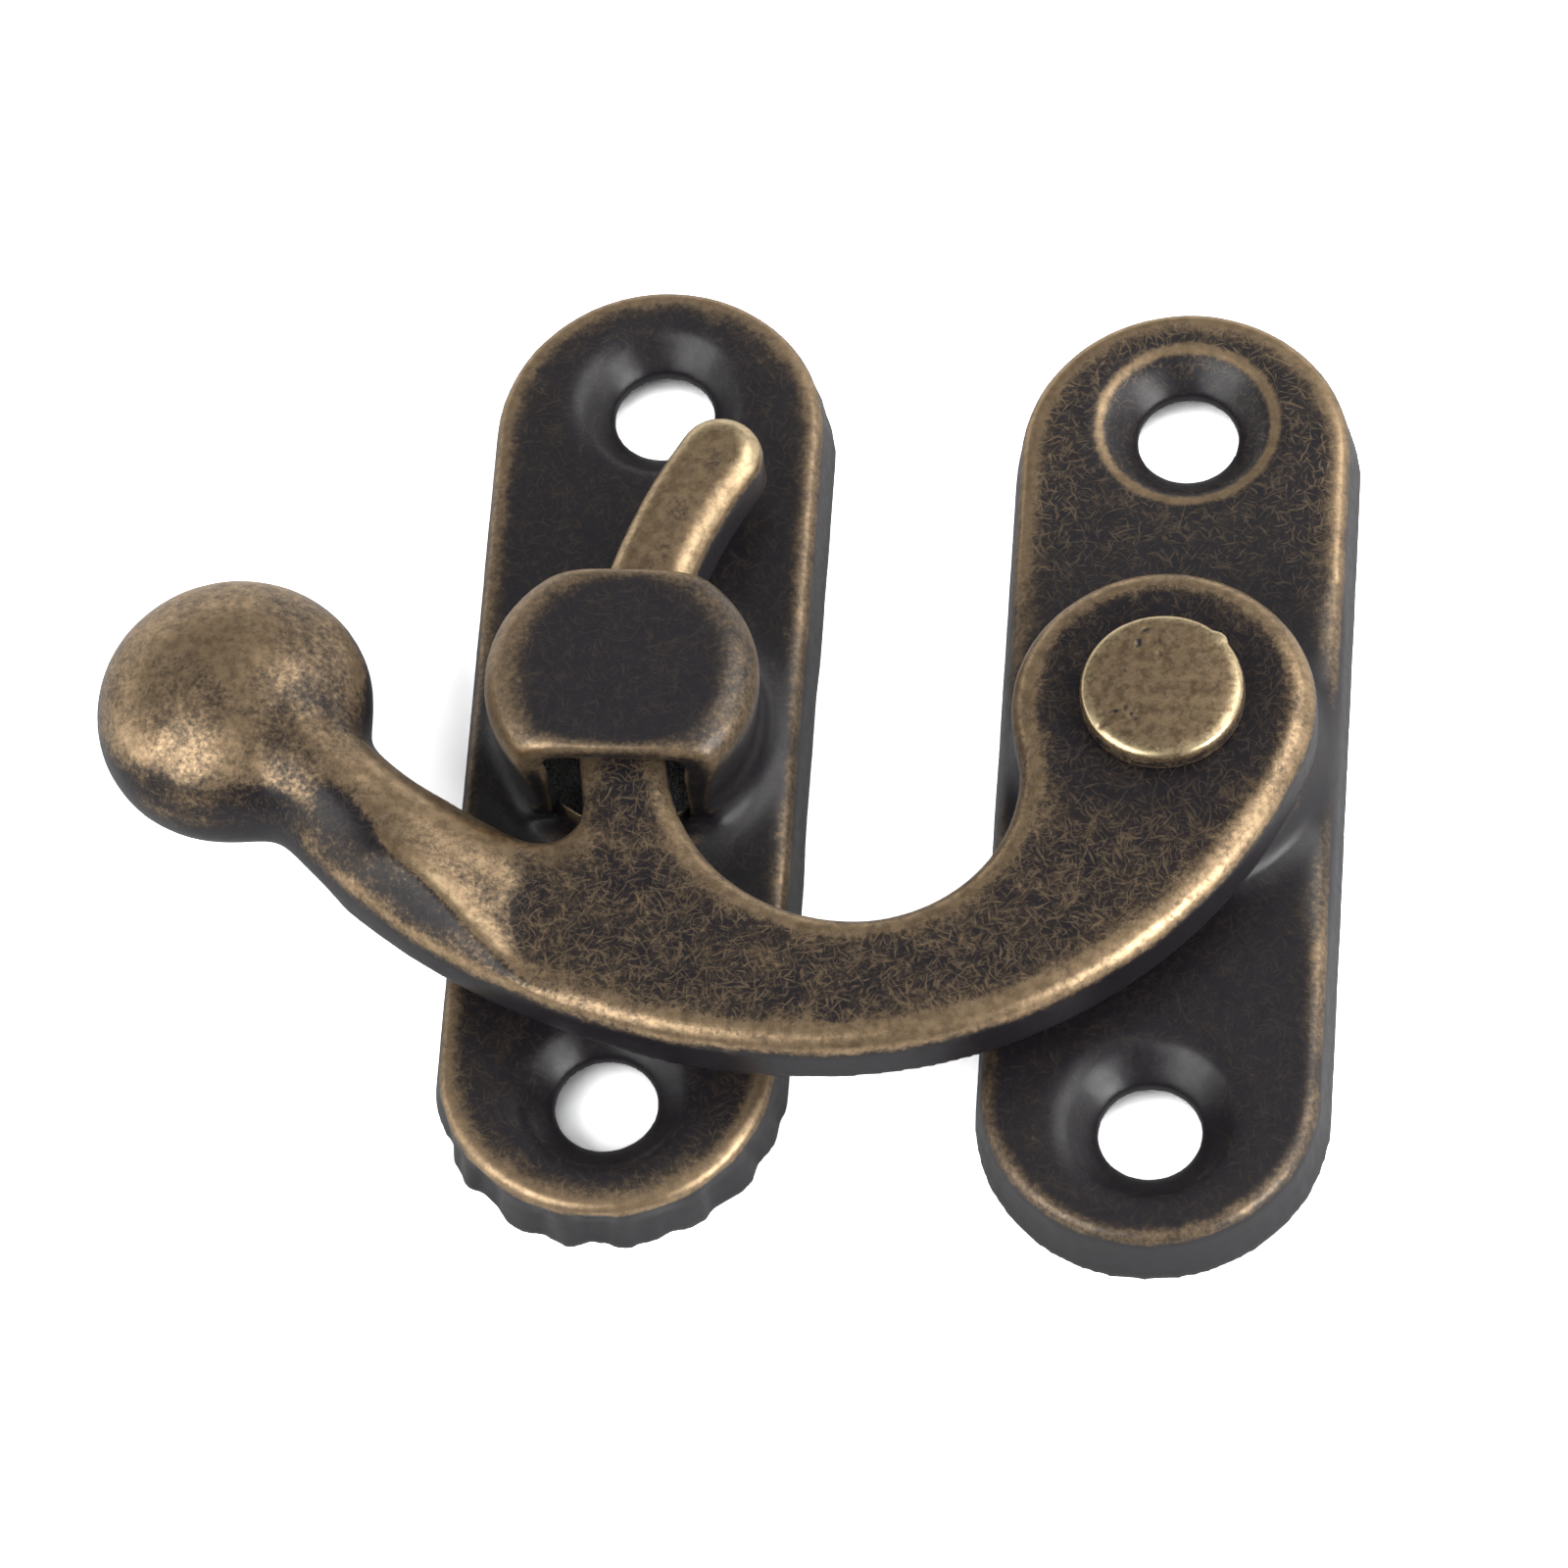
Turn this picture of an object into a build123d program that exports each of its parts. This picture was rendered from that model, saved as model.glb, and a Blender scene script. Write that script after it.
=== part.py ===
from build123d import *
import os
from math import acos, atan2, degrees, hypot

# A swing-hook latch for a small box, in millimetres. The backs of both plates lie
# on z = 0, the hook turns about the Z axis, and the plates run along Y.

# Drawn plates
plate_length = 27.6
plate_width = 9.1
plate_height = 1.85
sheet = 0.7
wall_draft = 9.0
fold_radius = 0.4
inner_round = 0.2

# Screw holes in drawn dimples
screw_end_distance = 3.7
screw_hole_radius = 1.3
screw_hole_land = 0.4
dimple_radius = 2.25
dimple_depth = 0.8

# Places of the plates' middles, seen from the pivot
plate_spacing = 13.8
catch_lead = 0.2
pivot_plate_lag = 0.2

# Pedestal under the hook's eye
pedestal_rise = 1.3
pedestal_radius = 3.6
pedestal_foot_radius = 4.15
pedestal_round = 0.5

# Hook, seen from above
eye_radius = 3.9
arm_drop = 10.15
arm_width = 3.85
arm_low_reach = 8.6
bend_low_reach = 7.6
finger_width = 2.3
finger_sweep = 31.0
crotch_round = 1.0
neck_root_width = 4.3
neck_width = 3.0
neck_offset = 0.45
neck_rise_turn = 32.0
knob_reach = 9.95
knob_drop = 0.5

# Hook, seen from the side
hook_thickness = 1.75
hook_edge_round = 0.65
neck_crown = 1.95
neck_ridge_offset = 0.35
neck_flare = 2.2
knob_radius = 3.62
knob_half_height = 2.6
knob_side_round = 2.0
knob_sink = 0.25

# Rivet
shank_radius = 1.25
head_radius = 2.13
head_thickness = 0.75
head_round = 0.2
tail_radius = 1.9
tail_thickness = 0.5
tail_round = 0.4

# Hood over the finger
hood_radius = 3.7
hood_waist_radius = 3.3
hood_round = 0.9
hood_flare = 1.1
mouth_width = 3.5
mouth_shift = -0.05
lip_width = 5.0
front_lip_reach = 2.5
back_lip_reach = 2.95
sill_rise = 0.3

# Clearances
pivot_clearance = 0.05
slide_gap = 0.05
headroom = 0.15
rivet_hole_clearance = 0.02

# Levels above the back plane
pedestal_top = plate_height + pedestal_rise
hook_bottom = pedestal_top + slide_gap
hook_top = hook_bottom + hook_thickness
parting_level = hook_top - hook_edge_round
head_bottom = hook_top + slide_gap
hood_inside = hook_top + headroom
hood_top = hood_inside + sheet

screw_spacing = plate_length - 2 * screw_end_distance
pivot = Plane.XY
pivot_base = Plane((0, -pivot_plate_lag, 0))
catch_base = Plane((-plate_spacing, catch_lead, 0))


def upright(base):
    """The plane through a base's centre in which profiles about its Z axis are drawn."""
    return Plane(base.origin, x_dir=(1, 0, 0), z_dir=(0, -1, 0))


def centre_axis(base):
    """The Z axis through a base's centre."""
    return Axis(base.origin, (0, 0, 1))


def tapered_block(base, inset, height):
    """A plate's outline, moved in by inset and drawn up with the walls' draft."""
    with BuildPart() as block:
        with BuildSketch(base):
            SlotOverall(plate_length - 2 * inset, plate_width - 2 * inset, rotation=90)
        extrude(amount=height, taper=wall_draft)
    return block.part


def raised_form(base, centre, inset, top, profile):
    """What a profile turned about centre raises from a plate, cut off by the plate's side walls."""
    block = tapered_block(base, inset, top)
    with BuildPart() as form:
        add(block)
        with BuildSketch(upright(centre)):
            add(profile)
        revolve(axis=centre_axis(centre), mode=Mode.INTERSECT)
    return form.part


def round_profile(corners, edge_round):
    """Half of a round form's section, with its uppermost outer corner rounded."""
    with BuildSketch() as profile:
        with BuildLine():
            Polyline(*corners, close=True)
        make_face()
        rim = profile.vertices().group_by(Axis.Y)[-1].sort_by(Axis.X)[-1]
        fillet(rim, edge_round)
    return profile.sketch


def pedestal_profile(inset, edge_round):
    """Half of the pedestal's section, moved in by inset: a sloping side and a flat top."""
    top = pedestal_top - inset
    foot = pedestal_foot_radius - inset
    rim = pedestal_radius - inset / 2
    corners = [(0, 0), (foot, 0), (foot, plate_height - inset), (rim, top), (0, top)]
    return round_profile(corners, edge_round)


def hood_profile(inset, edge_round):
    """Half of the hood's section, moved in by inset: a waist, a wider rim and a flat cap."""
    top = hood_top - inset
    waist = hood_waist_radius - inset
    rim = hood_radius - inset
    corners = [(0, 0), (waist, 0), (waist, plate_height + hood_flare), (rim, top), (0, top)]
    return round_profile(corners, edge_round)


def drawn_plate(base, raised, hollow):
    """A drawn plate with a raised form and its hollow, and two dimpled screw holes."""
    blank = tapered_block(base, 0, plate_height)
    inside_height = plate_height - sheet
    inside = tapered_block(base, sheet, inside_height)
    dimple_floor = plate_height - dimple_depth
    seat_bottom = dimple_floor - screw_hole_land
    seat_height = inside_height - seat_bottom
    seat_radius = screw_hole_radius + screw_hole_land
    with BuildPart() as plate:
        add(blank)
        fillet(plate.edges().group_by(Axis.Z)[-1], fold_radius)
        add(raised)
        add(inside, mode=Mode.SUBTRACT)
        add(hollow, mode=Mode.SUBTRACT)
        with Locations(base.offset(seat_bottom + seat_height / 2)):
            with GridLocations(0, screw_spacing, 1, 2):
                Cone(seat_radius, dimple_radius + sheet / 2, seat_height)
        with Locations(base.offset(plate_height)):
            with GridLocations(0, screw_spacing, 1, 2):
                Hole(screw_hole_radius, depth=plate_height)
        with Locations(base.offset(dimple_floor + dimple_depth / 2)):
            with GridLocations(0, screw_spacing, 1, 2):
                Cone(screw_hole_radius, dimple_radius, dimple_depth, mode=Mode.SUBTRACT)
    return plate.part


# Pivot plate: a drawn tray with a round pedestal for the hook's eye
pedestal = raised_form(pivot_base, pivot, 0, pedestal_top, pedestal_profile(0, pedestal_round))
pedestal_hollow = raised_form(
    pivot_base, pivot, sheet, pedestal_top - sheet, pedestal_profile(sheet, inner_round)
)
pivot_tray = drawn_plate(pivot_base, [pedestal], pedestal_hollow)

with BuildPart() as pivot_plate:
    add(pivot_tray)
    with Locations((0, 0, pedestal_top)):
        Hole(shank_radius + rivet_hole_clearance, depth=pedestal_rise + sheet)
pivot_plate.part.label = "pivot_plate"

# Catch plate: the same tray with a hood that is open at the front and the back
with BuildSketch() as flare_section:
    with BuildLine():
        foot_edge = Line((0, plate_height), (hood_waist_radius + hood_flare, plate_height))
        flare_edge = TangentArc(
            foot_edge @ 1, (hood_waist_radius, plate_height + hood_flare), tangent=(-1, 0)
        )
        Polyline(flare_edge @ 1, (0, plate_height + hood_flare), (0, plate_height))
    make_face()
hood = raised_form(catch_base, catch_base, 0, hood_top, hood_profile(0, hood_round))
flare = raised_form(catch_base, catch_base, 0, hood_top, flare_section.sketch)
hood_hollow = raised_form(
    catch_base, catch_base, sheet, hood_inside, hood_profile(sheet, inner_round)
)
catch_tray = drawn_plate(catch_base, [hood, flare], hood_hollow)
sill_level = plate_height + sill_rise

with BuildPart() as catch_plate:
    add(catch_tray)
    with BuildSketch(catch_base.offset(sill_level)):
        with Locations((mouth_shift, 0)):
            Rectangle(mouth_width, plate_width)
    extrude(amount=hood_inside - sill_level, mode=Mode.SUBTRACT)
    with BuildSketch(catch_base.offset(sill_level)):
        with Locations((0, -front_lip_reach - plate_width / 2), (0, back_lip_reach + plate_width / 2)):
            Rectangle(lip_width, plate_width)
    extrude(amount=hood_top - sill_level, mode=Mode.SUBTRACT)
catch_plate.part.label = "catch_plate"


# Hook: a flat cast arm from the eye to the finger, with a round neck and a knob
def bend_radius(low, circle):
    """Radius of an arc that is level at low and touches a circle about the pivot.

    The circle's radius is negative where one of the two lies inside the other.
    """
    return (low.X**2 + low.Y**2 - circle**2) / (2 * (circle - low.Y))


def bend_centre(low, circle):
    """Centre of that arc."""
    return Vector(low.X, low.Y + bend_radius(low, circle))


def bearing(point):
    """Angle of a point seen from the pivot, in degrees from 0 to 360."""
    return degrees(atan2(point.Y, point.X)) % 360


finger_inner = plate_spacing - finger_width / 2
finger_outer = plate_spacing + finger_width / 2
arm_low = Vector(-arm_low_reach, -arm_drop)
bend_low = Vector(-bend_low_reach, arm_width - arm_drop)
knob_centre = Vector(-plate_spacing - knob_reach, -knob_drop)

arm_start = bend_centre(arm_low, -eye_radius).normalized() * -eye_radius
bend_start = bend_centre(bend_low, eye_radius).normalized() * eye_radius
finger_start = bend_centre(bend_low, -finger_inner).normalized() * finger_inner
tip_bearing = 180 - finger_sweep

# The neck runs from the arm's level lower edge to the knob and grows narrower on the way
def neck_radius(low, reach):
    """Radius of an arc that is level at low and passes the knob's centre at reach, outside it."""
    knob_from_low = knob_centre - low
    return (knob_from_low.X**2 + knob_from_low.Y**2 - reach**2) / (2 * (knob_from_low.Y - reach))


neck_middle_low = arm_low + Vector(0, neck_root_width / 2)
neck_inner_low = arm_low + Vector(0, neck_root_width)
neck_outer = neck_radius(arm_low, neck_width / 2 - neck_offset)
neck_middle = neck_radius(neck_middle_low, -neck_offset)
neck_inner = neck_radius(neck_inner_low, -neck_width / 2 - neck_offset)
neck_outer_pole = arm_low + Vector(0, neck_outer)
neck_middle_pole = neck_middle_low + Vector(0, neck_middle)
neck_inner_pole = neck_inner_low + Vector(0, neck_inner)
neck_outer_end = neck_outer_pole + (knob_centre - neck_outer_pole).normalized() * neck_outer
neck_inner_end = neck_inner_pole + (knob_centre - neck_inner_pole).normalized() * neck_inner

# The knob's flat crown runs over into its round side where the two arcs touch
side_pole = knob_radius - knob_side_round
crown_radius = (side_pole**2 + knob_half_height**2 - knob_side_round**2) / (
    2 * (knob_half_height - knob_side_round)
)
crown_pole = Vector(0, knob_half_height - crown_radius)
crown_end = crown_pole + (Vector(side_pole, 0) - crown_pole).normalized() * crown_radius

# The crotch is where the finger's outer edge meets the neck's inner edge
pole_distance = hypot(neck_inner_pole.X, neck_inner_pole.Y)
crotch_turn = degrees(
    acos(
        (finger_outer**2 + pole_distance**2 - neck_inner**2)
        / (2 * finger_outer * pole_distance)
    )
)
crotch_bearing = bearing(neck_inner_pole) + crotch_turn
crotch = Vector(finger_outer, 0).rotate(Axis.Z, crotch_bearing)

with BuildPart() as hook:
    with BuildSketch(Plane.XY.offset(hook_bottom)) as hook_outline:
        with BuildLine():
            eye_edge = CenterArc(
                (0, 0),
                eye_radius,
                bearing(arm_start) - 360,
                bearing(bend_start) - bearing(arm_start) + 360,
            )
            bend_edge = TangentArc(eye_edge @ 1, bend_low, tangent=eye_edge % 1)
            TangentArc(bend_low, finger_start, tangent=bend_edge % 1)
            inner_edge = CenterArc(
                (0, 0), finger_inner, bearing(finger_start), tip_bearing - bearing(finger_start)
            )
            tip_end = Vector(finger_outer, 0).rotate(Axis.Z, tip_bearing)
            TangentArc(inner_edge @ 1, tip_end, tangent=inner_edge % 1)
            CenterArc((0, 0), finger_outer, tip_bearing, crotch_bearing - tip_bearing)
            RadiusArc(crotch, neck_inner_end, neck_inner)
            Line(neck_inner_end, neck_outer_end)
            neck_outer_edge = RadiusArc(neck_outer_end, arm_low, -neck_outer)
            TangentArc(arm_low, arm_start, tangent=neck_outer_edge % 1)
        make_face()
        fillet(hook_outline.vertices().sort_by_distance(crotch)[0], crotch_round)
        fillet(hook_outline.vertices().sort_by_distance(knob_centre)[:2], neck_width / 3)
    extrude(amount=hook_thickness)
    fillet(hook.edges().group_by(Axis.Z)[-1], hook_edge_round)
    Hole(shank_radius + pivot_clearance)

    # Ridged neck, rising steeply out of the flat arm and widening again inside the knob
    knob_turn = 270 - bearing(knob_centre - neck_middle_pole)
    web_crown = hook_edge_round - slide_gap
    for share, rise, widening in ((0, 0, 0), (0.4, 0.62, 0), (0.7, 0.9, 0), (1, 1.1, neck_flare)):
        turn = knob_turn - neck_rise_turn * (1 - share)
        outward = Vector(0, -1).rotate(Axis.Z, -turn)
        along = Vector(1, 0).rotate(Axis.Z, -turn)
        station = neck_middle_pole + outward * neck_middle
        width = neck_root_width + (neck_width - neck_root_width) * turn / knob_turn + widening
        section = Plane(station + Vector(0, 0, parting_level), x_dir=outward, z_dir=along)
        crown = web_crown + (neck_crown - web_crown) * rise
        ridge = (-neck_ridge_offset * rise, 0)
        outer_half = width / 2 + neck_ridge_offset * rise
        inner_half = width / 2 - neck_ridge_offset * rise
        with BuildSketch(section):
            with BuildLine():
                EllipticalCenterArc(ridge, outer_half, crown, start_angle=-90, arc_size=180)
                EllipticalCenterArc(ridge, inner_half, crown, start_angle=90, arc_size=180)
            make_face()
    loft()

    # Knob: a ball that is flatter above and below
    knob_base = Plane(knob_centre + Vector(0, 0, parting_level - knob_sink))
    with BuildSketch(upright(knob_base)):
        with BuildLine():
            under = TangentArc((0, -knob_half_height), (crown_end.X, -crown_end.Y), tangent=(1, 0))
            side = TangentArc(under @ 1, crown_end, tangent=under % 1)
            over = TangentArc(side @ 1, (0, knob_half_height), tangent=side % 1)
            Line(over @ 1, under @ 0)
        make_face()
    revolve(axis=centre_axis(knob_base))
hook.part.label = "hook"

# Rivet: flat head above the eye, tail set under the pedestal's sheet
tail_top = pedestal_top - sheet
head_top = head_bottom + head_thickness
with BuildPart() as rivet:
    with BuildSketch(Plane.XZ) as rivet_section:
        with BuildLine():
            Polyline(
                (0, tail_top - tail_thickness),
                (tail_radius, tail_top - tail_thickness),
                (tail_radius, tail_top),
                (shank_radius, tail_top),
                (shank_radius, head_bottom),
                (head_radius, head_bottom),
                (head_radius, head_top),
                (0, head_top),
                close=True,
            )
        make_face()
        head_edge = rivet_section.vertices().group_by(Axis.Y)[-1].sort_by(Axis.X)[-1]
        fillet(head_edge, head_round)
        tail_edge = rivet_section.vertices().group_by(Axis.Y)[0].sort_by(Axis.X)[-1]
        fillet(tail_edge, tail_round)
    revolve(axis=Axis.Z)
rivet.part.label = "rivet"

os.makedirs("parts", exist_ok=True)
for piece in (pivot_plate, catch_plate, hook, rivet):
    export_step(piece.part, f"parts/{piece.part.label}.step")
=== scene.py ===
from math import cos, pi, radians, sin

import bmesh
import bpy
import numpy as np
from bpy.props import FloatProperty, FloatVectorProperty, IntProperty, PointerProperty
from mathutils import Matrix, Vector


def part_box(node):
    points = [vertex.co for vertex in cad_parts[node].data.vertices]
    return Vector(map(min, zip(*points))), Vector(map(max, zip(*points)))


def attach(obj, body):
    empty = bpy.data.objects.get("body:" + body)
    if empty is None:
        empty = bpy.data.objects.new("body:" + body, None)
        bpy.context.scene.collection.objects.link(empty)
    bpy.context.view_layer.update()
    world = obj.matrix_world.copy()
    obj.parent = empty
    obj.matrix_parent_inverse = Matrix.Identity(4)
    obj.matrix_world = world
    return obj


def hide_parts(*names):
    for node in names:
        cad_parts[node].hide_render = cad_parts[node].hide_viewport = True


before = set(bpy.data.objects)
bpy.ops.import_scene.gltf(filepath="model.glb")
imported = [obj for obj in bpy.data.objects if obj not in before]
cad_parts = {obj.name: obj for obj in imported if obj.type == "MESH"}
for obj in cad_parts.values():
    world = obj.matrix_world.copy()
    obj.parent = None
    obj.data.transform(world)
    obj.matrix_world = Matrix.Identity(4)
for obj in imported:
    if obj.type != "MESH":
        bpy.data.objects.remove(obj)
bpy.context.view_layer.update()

bl_info = {
    "name": "Box hasp",
    "version": (1, 0, 0),
    "blender": (4, 5, 0),
    "location": "3D View > Sidebar > Box hasp",
    "description": "Dresses a swing-hook box latch in worn antique brass",
    "category": "Object",
}

MM = 0.001
PIECES = ("catch_plate", "pivot_plate", "hook", "rivet")

# Skins: points nearer than this are one point, and slivers are this part of the grid
SAME_POINT = 0.0005 * MM
SLIVER = 0.14

# Rounds of smoothing
PLATE_ROUNDS = 3
DIMPLE_ROUNDS = 36
HOOD_FOOT_ROUNDS = 20
HOOD_CAP_ROUNDS = 22
PEDESTAL_ROUNDS = 60
HOOK_ROUNDS = 2
NECK_ROUNDS = 44
KNOB_ROOT_ROUNDS = 150
RIVET_ROUNDS = 4
HEAD_RIM_ROUNDS = 50
BEND_ROUNDS = 4
LINE_ROUNDS = 2
GLOW_ROUNDS = 60

# Places, sizes and directions on the latch; lengths in millimetres, turns in radians
SCREW_END = 3.7
DIMPLE_RING = (1.2, 2.9)
DIMPLE_SOFT = (1.3, 3.2)
SHOULDER_RADIUS = 2.3
SHOULDER_WIDTH = 0.16
KNOB_RADIUS = 3.62
KNOB_PLACE_Y = -0.5
KNOB_CROWN = (-0.13, -0.20, 0.97)
FLANK_FACING = (-0.6, -0.8, 0.0)
FLAT_TOP = 4.95
NECK_TURN = radians(-44.0)
RIDGE_STEP = (-16.3, -5.2, radians(101.7))
RIDGE_RIM = (-18.0, -7.5, radians(-29.7))
STEP_SLOPE = 0.36
RIM_SLOPE = 0.95
RIM_DROP = 0.25
RIDGE_LIFT = 0.6
RIDGE_WIDTH = 0.4
NECK_HALF_WIDTH = 2.2
NECK_SOFTNESS = 0.8
BEHIND_KNOB = 4.0
FINGER_RADIUS = 13.8
FINGER_ROOT = (-13.6, -2.6)
SETTING_MARKS = ((-0.51, 1.25), (-1.1, -0.83))
NICKS_IN_MARK = 11
NICK_SPREAD = 0.2
NICK_TURNS = (-0.4, 1.9)
NICK_HALF_WIDTH = 0.06
NICK_HALF_LENGTHS = (0.06, 0.18)
NICK_DEPTHS = (0.01, 0.028)
HEAD_DOME = 0.08
BURR = (1.47, 1.50)
BURR_REACH = 0.34
BURR_SIZE = 0.09

# Patterns of the finish: pitches in metres, and how strong they are
BLOTCH_PITCH = 1.0 * MM
MOTTLE_PITCH = 0.38 * MM
GRAIN_PITCH = 0.13 * MM
FLECK_PITCH = 0.16 * MM
TARNISH_PITCH = 0.30 * MM
GLOSS_PITCH = 0.35 * MM
DUST_PITCH = 1.3 * MM
SWAY_PITCH = 0.9 * MM
SWAY = 0.5 * MM
STROKE_PITCH = 0.070 * MM
STROKE_TURNS = (0.30, 0.95, 1.65, 2.20, 2.85)
STROKE_STRETCH = (8.0, 1.0, 2.0)
WRINKLE_STRETCH = (1.0, 1.0, 0.12)
CATCH_FAR_WRINKLES = 0.35
PIVOT_WRINKLES = 0.06
SEED_SHIFT = (0.371, 0.173, 0.291)
BARE_ROUGHER = 0.04
GLOSS_CHANGE = 0.22
DUST_ROUGHER = 0.3
BARE_HEIGHT = -0.4
BUMP_STRENGTH = 0.28
BUMP_DEPTH = 0.02 * MM

# How far rubbing wears a place, or patina is left in it; some of these are painted shade or painted
# highlight
DIMPLE_PATINA = 0.25
CATCH_EDGE_WEAR = 0.04
CATCH_NEAR_EDGE_WEAR = 0.12
CATCH_FAR_EDGE_WEAR = 0.07
CATCH_END_WEAR = 0.03
HOOD_RIM_WEAR = 0.02
HOOD_FRONT_WEAR = 0.05
# Wear on the hood's left rim, partly a painted highlight
HOOD_LEFT_WEAR_AND_HIGHLIGHT = 0.22
HOOD_LIP_PATINA = 0.16
PIVOT_EDGE_WEAR = 0.04
PIVOT_FAR_EDGE_WEAR = 0.22
PIVOT_FAR_WEAR = 0.05
PIVOT_NEAR_PATINA = 0.22
SHOULDER_WEAR = 0.75
ARM_WEAR = 0.13
SIDE_PATINA = 0.25
# Painted shade of the hood on the finger's root
ROOT_PAINTED_SHADE = 0.25
FINGER_WEAR = 0.1
FINGER_TOP_WEAR = 0.20
NECK_WEAR = 0.20
# Wear on the neck's right-facing step, partly a painted highlight
STEP_WEAR_AND_HIGHLIGHT = 0.22
# Darkening of the neck's flank, partly patina and partly painted shade
FLANK_PATINA_AND_SHADE = 0.34
RIDGE_PATINA = 0.45
KNOB_WEAR = 0.33
CROWN_PATINA = 0.28
# Painted shade on the knob: its front, its sides, its right and its left are darkened by the way
# they face
KNOB_FRONT_PAINTED_SHADE = 0.54
KNOB_EQUATOR_PAINTED_SHADE = 0.12
KNOB_RIGHT_PAINTED_SHADE = 0.22
KNOB_LEFT_PAINTED_SHADE = 0.24
RIVET_WEAR = 0.12
RIVET_TOP_WEAR = 0.52
LIP_WEAR = 0.8
FOOT_PATINA = 2.0

# How hard the wire brush went over a place, and how far it spared one
CATCH_BRUSHED = 0.14
CATCH_NEAR_BRUSHED = 0.3
HOOD_BRUSHED = 0.10
PIVOT_BRUSHED = 0.10
PIVOT_FAR_BRUSHED = 0.35
PIVOT_FAR_EDGE_BRUSHED = 0.6
EYE_BRUSHED = 0.35
ARM_BRUSHED = 0.65
RIVET_BRUSHED = 0.8
KNOB_SPARED = 0.6
FINGER_SPARED = 0.5
FLANK_SPARED = 0.8

# Floor and camera
FLOOR_SIZE = 4.0
FLOOR_DEPTH = 0.02 * MM
SHADOW_LIFT = 2.2
# Share of the floor's colour left in its painted shade under cover
PAINTED_SHADE_SHARE = 0.02
SENSOR_WIDTH = 36.0
CLIP_START = 0.01
CLIP_END = 20.0

# Soft lamps: name, direction, width and height in metres, times the lamps' brightness
SOFT_LAMPS = (
    ("right_lamp", (0.80, -0.42, 0.38), (0.26, 0.24), 1.5),
    ("upper_lamp", (0.62, 0.30, 0.72), (0.36, 0.32), 0.5),
    ("left_lamp", (-0.94, -0.27, 0.19), (0.40, 0.18), 0.2),
    ("key_lamp", (-0.55, -0.50, 0.67), (0.34, 0.34), 0.7),
)


# Settings

def colour(label, text, default):
    """A colour that a user may change."""
    return FloatVectorProperty(
        name=label, description=text, subtype="COLOR", size=3, min=0.0, max=1.0, default=default
    )


def length(label, text, default):
    """A length in metres that a user may change."""
    return FloatProperty(
        name=label, description=text, subtype="DISTANCE", unit="LENGTH", min=0.0, default=default,
        precision=6,
    )


def angle(label, text, default):
    """An angle that a user may change."""
    return FloatProperty(name=label, description=text, subtype="ANGLE", default=default)


def share(label, text, default, top=1.0):
    """A plain amount that a user may change."""
    return FloatProperty(name=label, description=text, min=0.0, max=top, default=default)


class BoxHaspFinish(bpy.types.PropertyGroup):
    """Colours and wear of the antique brass finish."""

    oxide: colour("Oxide", "Dark patina of the flats and hollows", (0.0140, 0.0121, 0.0150))
    oxide_brown: colour("Brown oxide", "Patina where it is thinner", (0.052, 0.036, 0.023))
    brass: colour("Brass", "Metal where the patina is worn off", (0.48, 0.340, 0.203))
    brass_dull: colour("Dull brass", "Tarnished patches of the worn metal", (0.20, 0.138, 0.080))
    brass_pale: colour("Pale brass", "Metal on the most rubbed places", (0.72, 0.572, 0.345))
    dust: colour("Dust", "Specks of dust on the plates", (0.42, 0.40, 0.37))
    edge_wear: share("Edge wear", "How far the wear reaches in from the edges", 1.0, 3.0)
    scratches: share("Scratches", "Strength of the brush scratches", 1.0, 3.0)


class BoxHaspShape(bpy.types.PropertyGroup):
    """Fineness of the surfaces and small unevenness of the metal."""

    plate_grid: length("Plate grid", "Size of the plates' faces", 0.100 * MM)
    hook_grid: length("Hook grid", "Size of the hook's faces", 0.090 * MM)
    rivet_grid: length("Rivet grid", "Size of the rivet's faces", 0.042 * MM)
    wrinkle_depth: length(
        "Wrinkles", "Depth of the drawing wrinkles in the catch plate's end wall", 0.23 * MM
    )
    wrinkle_pitch: length("Wrinkle pitch", "Distance from one wrinkle to the next", 1.25 * MM)
    unevenness: length("Unevenness", "Depth of the castings' and sheets' slight dents", 0.03 * MM)
    dent_pitch: length("Dent size", "Distance from one slight dent to the next", 1.6 * MM)
    seed: IntProperty(name="Seed", description="Place of the random dents", default=4, min=0)


class BoxHaspStage(bpy.types.PropertyGroup):
    """Camera, light and floor."""

    elevation: angle("Elevation", "Camera's angle above the floor", radians(61.13))
    azimuth: angle("Azimuth", "Camera's turn about the latch", radians(12.24))
    roll: angle("Roll", "Camera's turn about its own axis", radians(9.52))
    distance: length("Distance", "From the camera to what it looks at", 250.0 * MM)
    focal_length: FloatProperty(
        name="Focal length", description="Camera's lens", unit="CAMERA", default=222.2
    )
    target: FloatVectorProperty(
        name="Target", description="What the camera looks at", subtype="XYZ", unit="LENGTH", size=3,
        default=(-10.024 * MM, -0.042 * MM, 0.0),
    )
    floor: colour("Floor", "Pale floor", (0.86, 0.86, 0.86))
    floor_gain: share("Floor gain", "How much brighter the floor is seen than lit", 2.4, 4.0)
    # Painted shade on the floor is found within this reach of a roof above it
    painted_shade_reach: length("Cover reach", "How near a roof must be to keep the floor dark", 8.0 * MM)
    floor_mirrored: share(
        "Floor in mirrors", "How much brighter the floor is mirrored than lit", 0.9, 4.0
    )
    room_light: share("Room light", "Light from the room above the latch", 0.26, 4.0)
    front_light: share("Front light", "Light from the room before the latch", 0.10, 4.0)
    backdrop: share("Backdrop", "Brightness of the white backdrop near the horizon", 1.2, 4.0)
    lamp_distance: length("Lamp distance", "From the soft lamps to the latch", 450.0 * MM)
    lamp_light: share("Lamp light", "Brightness of the soft lamps", 5.0, 20.0)


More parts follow.
